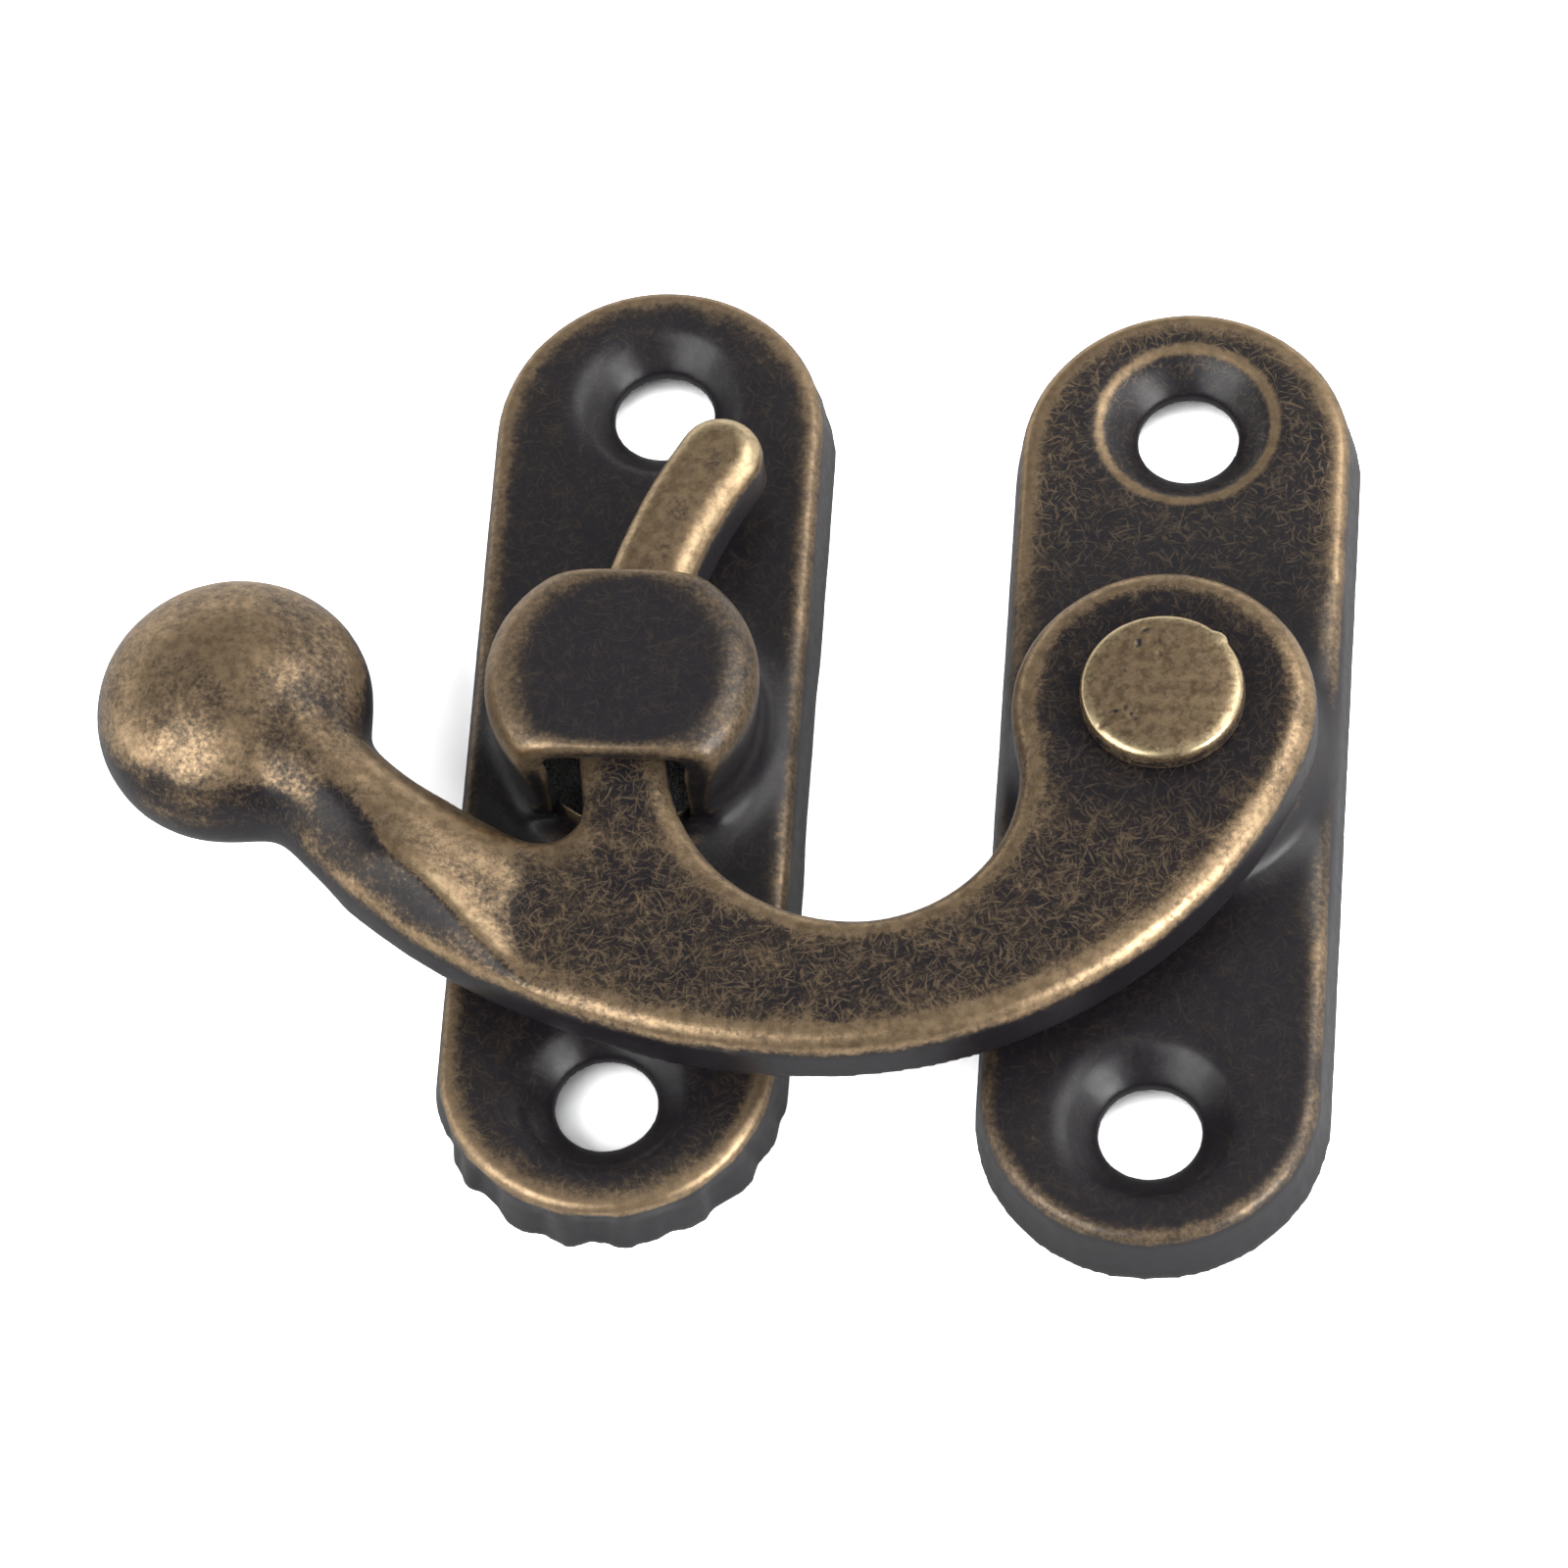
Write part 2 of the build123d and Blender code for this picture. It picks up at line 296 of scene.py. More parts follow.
# Points of a mesh, in millimetres

def points_of(mesh):
    """The mesh's points in millimetres."""
    flat = np.empty(len(mesh.vertices) * 3)
    mesh.vertices.foreach_get("co", flat)
    return flat.reshape(-1, 3) / MM


def put_points(mesh, points):
    """Writes points in millimetres back to the mesh."""
    mesh.vertices.foreach_set("co", (points * MM).ravel())
    mesh.update()


def normals_of(mesh):
    """The mesh's point normals."""
    flat = np.empty(len(mesh.vertices) * 3)
    mesh.vertex_normals.foreach_get("vector", flat)
    return flat.reshape(-1, 3)


class Neighbours:
    """Which points of a mesh are joined by an edge."""

    def __init__(self, mesh):
        pairs = np.empty(len(mesh.edges) * 2, dtype=np.int64)
        mesh.edges.foreach_get("vertices", pairs)
        self.first, self.second = pairs.reshape(-1, 2).T
        self.total = len(mesh.vertices)
        self.count = np.bincount(pairs, minlength=self.total).astype(float)

    def mean(self, values):
        """The mean of each point's neighbours."""
        if values.ndim > 1:
            return np.stack([self.mean(column) for column in values.T], axis=1)
        there = np.bincount(self.first, weights=values[self.second], minlength=self.total)
        back = np.bincount(self.second, weights=values[self.first], minlength=self.total)
        return (there + back) / self.count

    def smooth(self, values, rounds, weight=1.0):
        """Values drawn towards their neighbours' mean, where weight says."""
        if values.ndim > 1 and np.ndim(weight):
            weight = weight[:, None]
        for _ in range(rounds):
            values = values + 0.5 * weight * (self.mean(values) - values)
        return values


def ease(low, high, values):
    """A smooth step from 0 at low to 1 at high."""
    t = np.clip((values - low) / (high - low), 0.0, 1.0)
    return t * t * (3.0 - 2.0 * t)


def put_attribute(mesh, name, values):
    """One number or direction for each point, for the materials and the node trees to read."""
    values = np.asarray(values, dtype=np.float32)
    kind, field = ("FLOAT", "value") if values.ndim == 1 else ("FLOAT_VECTOR", "vector")
    layer = mesh.attributes.new(name, kind, "POINT")
    layer.data.foreach_set(field, values.ravel())


def evaluated_mesh(piece, name):
    """A plain mesh of what a piece's modifiers make; the modifiers are then removed."""
    graph = bpy.context.evaluated_depsgraph_get()
    made = bpy.data.meshes.new_from_object(piece.evaluated_get(graph))
    made.name = name
    old = piece.data
    piece.modifiers.clear()
    piece.data = made
    bpy.data.meshes.remove(old)
    return made


def weld(mesh, nearest):
    """Joins the points of a mesh that lie nearer to each other than this."""
    joined = bmesh.new()
    joined.from_mesh(mesh)
    bmesh.ops.remove_doubles(joined, verts=joined.verts, dist=nearest)
    joined.to_mesh(mesh)
    joined.free()
    mesh.update()


def resurfaced(node, grid):
    """A copy of a solid's surface as one even skin of small faces."""
    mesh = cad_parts[node].data.copy()
    weld(mesh, SAME_POINT)
    mesh.materials.clear()
    piece = bpy.data.objects.new(node + "_dressed", mesh)
    bpy.context.scene.collection.objects.link(piece)
    skin = piece.modifiers.new("Even skin", "REMESH")
    skin.mode = "VOXEL"
    skin.voxel_size = grid
    skin.adaptivity = 0.0
    skin.use_smooth_shade = True
    weld(evaluated_mesh(piece, node + "_skin"), SLIVER * grid)
    return piece


def curvature(mesh, net, grid, rounds):
    """How sharply the surface bends, per millimetre: above 0 on edges, below 0 in hollows."""
    points = points_of(mesh)
    bend = -np.einsum("ij,ij->i", net.mean(points) - points, normals_of(mesh))
    return net.smooth(bend / (grid / MM) ** 2, rounds)


def edge_wear(mesh, net, grid, lip, crisp, spread):
    """Where hands and tools rub: a line on each upper edge and a soft glow around it."""
    upward = normals_of(mesh)[:, 2]
    sharp = np.clip(curvature(mesh, net, grid, BEND_ROUNDS), -1.0, 2.5)
    line = net.smooth(sharp, LINE_ROUNDS) * np.maximum(ease(-0.35, 0.15, upward), lip)
    glow = net.smooth(np.clip(sharp, -1.0, 1.2), GLOW_ROUNDS) * ease(-0.1, 0.5, upward)
    return crisp * line + spread * glow


def keep_in_box(node, points):
    """Points moved back inside the solid's own box."""
    low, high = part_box(node)
    return np.clip(points, np.array(low) / MM, np.array(high) / MM)


# Node trees

def node_in(tree, kind, inputs=None, **settings):
    """A new node with settings and inputs filled in; an input may be a socket to link from."""
    node = tree.nodes.new(kind)
    for name, value in settings.items():
        setattr(node, name, value)
    for key, value in (inputs or {}).items():
        if isinstance(value, bpy.types.NodeSocket):
            tree.links.new(value, node.inputs[key])
        else:
            node.inputs[key].default_value = value
    return node


def maths(tree, operation, first, second=0.0, third=0.0):
    """The result of a Math node."""
    node = node_in(tree, "ShaderNodeMath", {0: first, 1: second, 2: third}, operation=operation)
    return node.outputs[0]


def stepped(tree, value, low, high, to_low=0.0, to_high=1.0):
    """A smooth step of a value from low to high."""
    node = node_in(
        tree, "ShaderNodeMapRange",
        {"Value": value, "From Min": low, "From Max": high, "To Min": to_low, "To Max": to_high},
        interpolation_type="SMOOTHSTEP",
    )
    return node.outputs["Result"]


def noise(tree, vector, pitch, detail=2.0, roughness=0.5, seed=0.0):
    """Noise with about one blob for each pitch in metres; a seed moves it along."""
    if seed:
        vector = node_in(
            tree, "ShaderNodeVectorMath",
            {0: vector, 1: tuple(seed * part for part in SEED_SHIFT)},
            operation="ADD",
        ).outputs[0]
    node = node_in(
        tree, "ShaderNodeTexNoise",
        {"Vector": vector, "Scale": 1.0 / pitch, "Detail": detail, "Roughness": roughness},
    )
    return node.outputs[0]


def mixed(tree, factor, first, second):
    """Two colours mixed by a factor."""
    first, second = (
        tone if isinstance(tone, bpy.types.NodeSocket) else (*tone, 1.0) for tone in (first, second)
    )
    node = node_in(tree, "ShaderNodeMix", {0: factor, 6: first, 7: second}, data_type="RGBA")
    return node.outputs[2]


def shader_group(name, inputs, outputs):
    """An empty shader node group with named inputs and outputs, and its two end nodes."""
    tree = bpy.data.node_groups.new(name, "ShaderNodeTree")
    for label, kind, default in inputs:
        socket = tree.interface.new_socket(label, in_out="INPUT", socket_type=kind)
        if default is not None:
            socket.default_value = default
    for label, kind in outputs:
        tree.interface.new_socket(label, in_out="OUTPUT", socket_type=kind)
    return tree, tree.nodes.new("NodeGroupInput").outputs, tree.nodes.new("NodeGroupOutput").inputs


def worn_edges_group():
    """Where the patina is rubbed off, in fine grains, and where it is only thinner and brown."""
    tree, given, result = shader_group(
        "Worn edges",
        [("Vector", "NodeSocketVector", None), ("Edge", "NodeSocketFloat", 0.0),
         ("Rub", "NodeSocketFloat", 0.0), ("Reach", "NodeSocketFloat", 1.0),
         ("Breakup", "NodeSocketFloat", 0.5)],
        [("Worn", "NodeSocketFloat"), ("Bright", "NodeSocketFloat"), ("Thin", "NodeSocketFloat")],
    )

    def spotted(level, pitch, weight, detail, roughness, seed=0.0):
        """A level that noise raises and lowers, as far as the breakup says."""
        spots = noise(tree, given["Vector"], pitch, detail, roughness, seed)
        spots = maths(tree, "SUBTRACT", spots, 0.5)
        strength = maths(tree, "MULTIPLY", given["Breakup"], weight)
        return maths(tree, "MULTIPLY_ADD", spots, strength, level)

    rubbed = maths(tree, "MULTIPLY_ADD", given["Edge"], given["Reach"], given["Rub"])
    rubbed = spotted(rubbed, BLOTCH_PITCH, weight=0.8, detail=3.0, roughness=0.6)
    level = spotted(rubbed, MOTTLE_PITCH, weight=0.5, detail=2.0, roughness=0.6, seed=5.0)
    level = spotted(level, GRAIN_PITCH, weight=1.3, detail=2.0, roughness=0.7, seed=1.0)
    tree.links.new(stepped(tree, level, 0.12, 0.95), result["Worn"])
    tree.links.new(stepped(tree, level, 0.80, 1.5), result["Bright"])
    tree.links.new(stepped(tree, rubbed, 0.0, 0.40), result["Thin"])
    return tree


def brush_scratches_group():
    """Fine short strokes of a wire brush in several directions."""
    tree, given, result = shader_group(
        "Brush scratches",
        [("Vector", "NodeSocketVector", None), ("Density", "NodeSocketFloat", 0.5)],
        [("Scratch", "NodeSocketFloat")],
    )
    sway = node_in(
        tree, "ShaderNodeTexNoise", {"Vector": given["Vector"], "Scale": 1.0 / SWAY_PITCH}
    )
    curled = node_in(
        tree, "ShaderNodeVectorMath",
        {0: sway.outputs["Color"], 1: (SWAY, SWAY, SWAY), 2: given["Vector"]},
        operation="MULTIPLY_ADD",
    ).outputs[0]
    found = None
    for layer, turn in enumerate(STROKE_TURNS):
        stretched = node_in(
            tree, "ShaderNodeMapping",
            {"Vector": curled, "Rotation": (0.0, 0.0, turn), "Scale": STROKE_STRETCH},
            vector_type="TEXTURE",
        ).outputs[0]
        strokes = noise(tree, stretched, STROKE_PITCH, detail=1.0, seed=2.0 + layer)
        strokes = maths(tree, "MULTIPLY_ADD", given["Density"], 0.2, strokes)
        strokes = stepped(tree, strokes, 0.67, 0.84)
        found = strokes if found is None else maths(tree, "MAXIMUM", found, strokes)
    tree.links.new(found, result["Scratch"])
    return tree


def dust_group():
    """A few pale specks."""
    tree, given, result = shader_group(
        "Dust specks",
        [("Vector", "NodeSocketVector", None), ("Pitch", "NodeSocketFloat", DUST_PITCH),
         ("Share", "NodeSocketFloat", 0.3)],
        [("Speck", "NodeSocketFloat")],
    )
    cells = node_in(
        tree, "ShaderNodeTexVoronoi",
        {"Vector": given["Vector"], "Scale": maths(tree, "DIVIDE", 1.0, given["Pitch"])},
    )
    near = stepped(tree, cells.outputs["Distance"], 0.03, 0.06, to_low=1.0, to_high=0.0)
    some = node_in(tree, "ShaderNodeSeparateColor", {"Color": cells.outputs["Color"]}).outputs[0]
    some = maths(tree, "LESS_THAN", some, given["Share"])
    tree.links.new(maths(tree, "MULTIPLY", near, some), result["Speck"])
    return tree


def group_node(tree, group, **inputs):
    """A shader group placed in a material."""
    return node_in(tree, "ShaderNodeGroup", inputs, node_tree=group)


def effect(name, build):
    """A shader group, built the first time it is asked for."""
    return bpy.data.node_groups.get(name) or build()


def antique_brass(name, reach, breakup, tarnish, scratch, density, dust, gloss, shine=0.5):
    """Dark patina over brass, worn through on edges and rubbed places."""
    finish = bpy.context.scene.box_hasp_finish
    material = bpy.data.materials.new(name)
    material.use_nodes = True
    tree = material.node_tree
    tree.nodes.clear()
    place = tree.nodes.new("ShaderNodeTexCoord").outputs["Object"]
    edge = node_in(tree, "ShaderNodeAttribute", attribute_name="edge").outputs["Fac"]
    rub = node_in(tree, "ShaderNodeAttribute", attribute_name="rub").outputs["Fac"]

    worn = group_node(
        tree, effect("Worn edges", worn_edges_group),
        Vector=place, Edge=edge, Rub=rub, Reach=reach * finish.edge_wear, Breakup=breakup,
    )
    lines = group_node(
        tree, effect("Brush scratches", brush_scratches_group), Vector=place, Density=density
    )
    specks = group_node(
        tree, effect("Dust specks", dust_group), Vector=place, Pitch=DUST_PITCH, Share=dust
    )
    brushed = node_in(tree, "ShaderNodeAttribute", attribute_name="brushed").outputs["Fac"]
    hard = maths(tree, "MULTIPLY", brushed, scratch * finish.scratches)
    lined = maths(tree, "MULTIPLY", lines.outputs["Scratch"], hard)
    bare = maths(tree, "MINIMUM", maths(tree, "ADD", worn.outputs["Worn"], lined), 1.0)

    flecks = noise(tree, place, FLECK_PITCH, detail=2.0, roughness=0.6, seed=9.0)
    flecks = stepped(tree, flecks, 0.35, 0.70, to_low=0.35, to_high=1.0)
    thin = maths(tree, "MULTIPLY", flecks, worn.outputs["Thin"])
    patina = mixed(tree, thin, tuple(finish.oxide), tuple(finish.oxide_brown))
    patches = noise(tree, place, TARNISH_PITCH, detail=3.0, roughness=0.65, seed=15.0)
    patches = stepped(tree, patches, 0.38, 0.66, to_low=0.0, to_high=tarnish)
    metal = mixed(tree, patches, tuple(finish.brass), tuple(finish.brass_dull))
    metal = mixed(tree, worn.outputs["Bright"], metal, tuple(finish.brass_pale))
    skin = mixed(tree, bare, patina, metal)
    skin = mixed(tree, specks.outputs["Speck"], skin, tuple(finish.dust))

    clean = maths(tree, "SUBTRACT", 1.0, specks.outputs["Speck"])
    metallic = maths(tree, "MULTIPLY", bare, clean)
    grains = noise(tree, place, GLOSS_PITCH, detail=3.0, roughness=0.6, seed=12.0)
    uneven_gloss = maths(tree, "MULTIPLY", maths(tree, "SUBTRACT", grains, 0.5), GLOSS_CHANGE)
    matt_specks = maths(tree, "MULTIPLY", specks.outputs["Speck"], DUST_ROUGHER)
    rough = maths(tree, "MULTIPLY_ADD", bare, BARE_ROUGHER, gloss)
    rough = maths(tree, "ADD", rough, uneven_gloss)
    rough = maths(tree, "ADD", rough, matt_specks)

    height = maths(tree, "MULTIPLY_ADD", bare, BARE_HEIGHT, grains)
    bump = node_in(
        tree, "ShaderNodeBump",
        {"Strength": BUMP_STRENGTH, "Distance": BUMP_DEPTH, "Height": height},
    )
    shader = node_in(
        tree, "ShaderNodeBsdfPrincipled",
        {"Base Color": skin, "Metallic": metallic, "Roughness": rough, "IOR": 1.5,
         "Specular IOR Level": shine, "Normal": bump.outputs["Normal"]},
    )
    output = tree.nodes.new("ShaderNodeOutputMaterial")
    tree.links.new(shader.outputs[0], output.inputs["Surface"])
    return material


def uneven_tree():
    """Slight dents all over a piece, and upright wrinkles where and whither its attribute says."""
    tree = bpy.data.node_groups.get("Uneven metal")
    if tree:
        return tree
    tree = bpy.data.node_groups.new("Uneven metal", "GeometryNodeTree")
    sockets = (
        ("Geometry", "NodeSocketGeometry"), ("Dent Depth", "NodeSocketFloat"),
        ("Dent Pitch", "NodeSocketFloat"), ("Wrinkle Depth", "NodeSocketFloat"),
        ("Wrinkle Pitch", "NodeSocketFloat"), ("Seed", "NodeSocketFloat"),
        ("Material", "NodeSocketMaterial"),
    )
    for label, kind in sockets:
        tree.interface.new_socket(label, in_out="INPUT", socket_type=kind)
    tree.interface.new_socket("Geometry", in_out="OUTPUT", socket_type="NodeSocketGeometry")
    given = tree.nodes.new("NodeGroupInput").outputs
    place = tree.nodes.new("GeometryNodeInputPosition").outputs[0]
    upright = node_in(
        tree, "ShaderNodeVectorMath", {0: place, 1: WRINKLE_STRETCH}, operation="MULTIPLY"
    ).outputs[0]

    def pattern(vector, pitch, detail):
        made = node_in(
            tree, "ShaderNodeTexNoise",
            {"Vector": vector, "W": given["Seed"], "Scale": maths(tree, "DIVIDE", 1.0, pitch),
             "Detail": detail},
            noise_dimensions="4D",
        )
        return made.outputs[0]

    def scaled(direction, amount):
        made = node_in(
            tree, "ShaderNodeVectorMath", {0: direction, "Scale": amount}, operation="SCALE"
        )
        return made.outputs[0]

    dents = maths(tree, "MULTIPLY", pattern(place, given["Dent Pitch"], 1.0), given["Dent Depth"])
    folds = stepped(tree, pattern(upright, given["Wrinkle Pitch"], 1.0), 0.32, 0.68)
    folds = maths(tree, "MULTIPLY", folds, given["Wrinkle Depth"])
    inward = node_in(
        tree, "GeometryNodeInputNamedAttribute", {"Name": "wrinkle"}, data_type="FLOAT_VECTOR"
    ).outputs[0]
    folded = scaled(inward, folds)
    dents = maths(tree, "MULTIPLY", dents, -1.0)
    normal = tree.nodes.new("GeometryNodeInputNormal").outputs[0]
    dented = scaled(normal, dents)
    shift = node_in(tree, "ShaderNodeVectorMath", {0: dented, 1: folded}, operation="ADD")
    moved = node_in(
        tree, "GeometryNodeSetPosition",
        {"Geometry": given["Geometry"], "Offset": shift.outputs[0]},
    )
    real = node_in(tree, "GeometryNodeRealizeInstances", {0: moved.outputs[0]})
    painted = node_in(
        tree, "GeometryNodeSetMaterial",
        {"Geometry": real.outputs[0], "Material": given["Material"]},
    )
    tree.links.new(painted.outputs[0], tree.nodes.new("NodeGroupOutput").inputs[0])
    return tree


def uneven(piece, material, dent_share=1.0):
    """Gives a piece its dents and wrinkles, and its material."""
    shape = bpy.context.scene.box_hasp_shape
    tree = uneven_tree()
    modifier = piece.modifiers.new("Uneven metal", "NODES")
    modifier.node_group = tree
    values = {
        "Dent Depth": shape.unevenness * dent_share, "Dent Pitch": shape.dent_pitch,
        "Wrinkle Depth": shape.wrinkle_depth, "Wrinkle Pitch": shape.wrinkle_pitch,
        "Seed": float(shape.seed), "Material": material,
    }
    for socket in tree.interface.items_tree:
        if socket.in_out == "INPUT" and socket.name in values:
            modifier[socket.identifier] = values[socket.name]
    return evaluated_mesh(piece, piece.name)


def dressed(
    node, piece, material, body, grid, rub, lip=None, dent_share=1.0, crisp=0.9, spread=1.1
):
    """Finishes a piece: unevenness, wear for the material to read, and its place in the frame."""
    mesh = uneven(piece, material, dent_share)
    put_points(mesh, keep_in_box(node, points_of(mesh)))
    net = Neighbours(mesh)
    points = points_of(mesh)
    kept_lip = lip(points) if lip else np.zeros(len(points))
    put_attribute(mesh, "edge", edge_wear(mesh, net, grid, kept_lip, crisp, spread))
    worn, brushed = rub(points, normals_of(mesh))
    put_attribute(mesh, "rub", worn)
    put_attribute(mesh, "brushed", brushed)
    mesh.attributes.remove(mesh.attributes["wrinkle"])
    mesh.polygons.foreach_set("use_smooth", np.ones(len(mesh.polygons), dtype=bool))
    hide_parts(node)
    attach(piece, body)


def flat_distance(points, centre):
    """Distance of points from an upright axis."""
    return np.hypot(points[:, 0] - centre[0], points[:, 1] - centre[1])


# Pieces

def box_centre(node):
    """Middle of a node's box, in millimetres."""
    low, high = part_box(node)
    return (np.array(low) + np.array(high)) / 2.0 / MM


def from_outline(node, points):
    """How far points lie inside a plate's outline, seen from above."""
    low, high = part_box(node)
    half = (np.array(high) - np.array(low)) / 2.0 / MM
    centre = box_centre(node)
    past_side = np.maximum(np.abs(points[:, 1] - centre[1]) - (half[1] - half[0]), 0.0)
    return half[0] - np.hypot(points[:, 0] - centre[0], past_side)


def hole_distance(node, points, end):
    """Distance of points from the axis of a plate's near (-1) or far (1) screw hole."""
    low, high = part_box(node)
    centre = box_centre(node)
    half_length = (high[1] - low[1]) / 2.0 / MM
    return flat_distance(points, (centre[0], centre[1] + end * (half_length - SCREW_END)))


def dimples(node, points, inner, outer):
    """1 on the shoulders of a plate's two dimples, falling to 0 at inner and at outer."""
    found = np.zeros(len(points))
    for end in (-1, 1):
        away = hole_distance(node, points, end)
        found = np.maximum(found, ease(inner, inner + 0.3, away) * ease(outer, outer - 0.5, away))
    return found


def plate_material():
    """Finish of the two drawn plates."""
    return bpy.data.materials.get("antique_plate_brass") or antique_brass(
        "antique_plate_brass", reach=0.95, breakup=0.50, tarnish=0.4, scratch=0.42, density=0.40,
        dust=0.05, gloss=0.35,
    )


def dress_plate(node, soft, rub, wrinkle, lip=None):
    """One drawn plate: softened folds and dimples, dents, wrinkled end walls, wear."""
    shape = bpy.context.scene.box_hasp_shape
    piece = resurfaced(node, shape.plate_grid)
    mesh = piece.data
    net = Neighbours(mesh)
    points = net.smooth(points_of(mesh), PLATE_ROUNDS)
    put_points(mesh, points)
    upper = ease(0.0, 0.3, normals_of(mesh)[:, 2])
    points = net.smooth(points, DIMPLE_ROUNDS, upper * dimples(node, points, *DIMPLE_SOFT))
    for rounds, weight in soft(points):
        points = net.smooth(points, rounds, weight)
    put_points(mesh, points)
    put_attribute(mesh, "wrinkle", wrinkle(points))
    dressed(
        node, piece, plate_material(), "plates", shape.plate_grid, rub, lip,
        crisp=1.5, spread=0.15,
    )


def end_wall(node, points, end):
    """Level directions into a plate from the wall of its near (-1) or far (1) end, else 0."""
    low, high = (np.array(corner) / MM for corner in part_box(node))
    half_width = (high[0] - low[0]) / 2.0
    end_y = (high[1] if end > 0 else low[1]) - end * half_width
    inward = np.zeros_like(points)
    inward[:, 0] = (low[0] + high[0]) / 2.0 - points[:, 0]
    inward[:, 1] = end_y - points[:, 1]
    out = np.hypot(inward[:, 0], inward[:, 1])
    where = ease(0.2, 1.6, end * (points[:, 1] - end_y))
    where *= ease(half_width - 1.3, half_width - 0.8, out)
    where *= ease(1.70, 1.0, points[:, 2])
    return inward * (where / np.maximum(out, 0.1))[:, None]


def wall_patina(points, normals):
    """How much less a plate's upright walls are worn than its top."""
    upright = ease(1.6, 1.2, points[:, 2]) * ease(0.60, 0.25, normals[:, 2])
    return np.maximum(upright, FOOT_PATINA * ease(0.5, 0.2, points[:, 2]))


class BOXHASP_OT_catch_plate(bpy.types.Operator):
    """Dress the catch plate with its hood"""

    bl_idname = "boxhasp.catch_plate"
    bl_label = "Catch plate"

    def execute(self, context):
        node = "catch_plate"
        centre = box_centre(node)

        def soft(points):
            away = flat_distance(points, centre)
            foot = ease(3.2, 3.8, away) * ease(5.6, 4.9, away) * ease(3.4, 2.4, points[:, 2])
            cap = ease(4.0, 5.0, points[:, 2])
            return ((HOOD_FOOT_ROUNDS, foot), (HOOD_CAP_ROUNDS, cap))

        def rub(points, normals):
            facing = ease(0.5, 0.95, normals[:, 2])
            inside = from_outline(node, points)
            near = ease(6.0, 10.0, centre[1] - points[:, 1])
            far = ease(4.0, 11.0, points[:, 1] - centre[1])
            glow = ease(1.6, 0.4, inside)
            edge = CATCH_EDGE_WEAR + CATCH_NEAR_EDGE_WEAR * near + CATCH_FAR_EDGE_WEAR * far
            ends = CATCH_END_WEAR * near + CATCH_END_WEAR * far
            wear = facing * glow * edge + facing * ends
            wear -= DIMPLE_PATINA * dimples(node, points, *DIMPLE_RING)
            wear -= wall_patina(points, normals)
            on_plate = ease(2.6, 2.2, points[:, 2])
            brushed = facing * on_plate * (CATCH_BRUSHED + CATCH_NEAR_BRUSHED * near * glow)
            brushed += HOOD_BRUSHED * (1.0 - on_plate)
            away = flat_distance(points, centre)
            front = ease(0.5, -3.0, points[:, 1] - centre[1])
            rim = ease(2.0, 3.3, away) * ease(4.2, 4.9, points[:, 2])
            left = ease(0.0, -2.5, points[:, 0] - centre[0])
            middle = ease(2.9, 2.0, np.abs(points[:, 0] - centre[0]))
            # the left rim's extra wear is partly a painted highlight
            hood_wear = rim * (HOOD_RIM_WEAR + HOOD_FRONT_WEAR * front + HOOD_LEFT_WEAR_AND_HIGHLIGHT * left)
            hood_wear -= HOOD_LIP_PATINA * front * middle
            return np.where(on_plate > 0.0, wear * on_plate, hood_wear), brushed

        def wrinkle(points):
            return end_wall(node, points, -1) + CATCH_FAR_WRINKLES * end_wall(node, points, 1)

        def lip(points):
            return LIP_WEAR * ease(4.5, 5.1, points[:, 2])

        dress_plate(node, soft, rub, wrinkle, lip)
        return {"FINISHED"}


class BOXHASP_OT_pivot_plate(bpy.types.Operator):
    """Dress the pivot plate with its pedestal"""

    bl_idname = "boxhasp.pivot_plate"
    bl_label = "Pivot plate"

    def execute(self, context):
        node = "pivot_plate"
        centre = box_centre(node)

        def soft(points):
            away = flat_distance(points, (0.0, 0.0))
            foot = ease(2.9, 3.6, away) * ease(7.0, 5.6, away) * ease(1.0, 1.5, points[:, 2])
            return ((PEDESTAL_ROUNDS, foot),)

        def rub(points, normals):
            facing = ease(0.5, 0.95, normals[:, 2])
            inside = from_outline(node, points)
            near = ease(5.0, 9.0, centre[1] - points[:, 1])
            far = ease(3.0, 8.0, points[:, 1] - centre[1])
            glow = ease(2.4, 0.4, inside)
            far_edge = far * ease(1.3, 0.3, inside)
            near_edge = near * ease(1.2, 0.6, inside)
            wear = PIVOT_EDGE_WEAR * glow + PIVOT_FAR_EDGE_WEAR * far_edge + PIVOT_FAR_WEAR * far
            wear *= facing
            wear -= DIMPLE_PATINA * dimples(node, points, *DIMPLE_RING)
            wear -= PIVOT_NEAR_PATINA * near_edge + wall_patina(points, normals)
            past_shoulder = (hole_distance(node, points, 1) - SHOULDER_RADIUS) / SHOULDER_WIDTH
            wear += SHOULDER_WEAR * np.exp(-past_shoulder ** 2)
            far_brushed = PIVOT_FAR_BRUSHED + PIVOT_FAR_EDGE_BRUSHED * glow
            return wear, facing * (PIVOT_BRUSHED + far * far_brushed)

        def wrinkle(points):
            return PIVOT_WRINKLES * (end_wall(node, points, -1) + end_wall(node, points, 1))

        dress_plate(node, soft, rub, wrinkle)
        return {"FINISHED"}


def across_neck(points, knob):
    """How far points lie past the neck's width, to either side of its line from the knob."""
    side = (points[:, 0] - knob[0]) * sin(NECK_TURN) - (points[:, 1] - knob[1]) * cos(NECK_TURN)
    ahead = (points[:, 0] - knob[0]) * cos(NECK_TURN) + (points[:, 1] - knob[1]) * sin(NECK_TURN)
    past_width = np.maximum(np.abs(side) - NECK_HALF_WIDTH, 0.0)
    return past_width + BEHIND_KNOB * ease(0.6, -0.4, ahead)


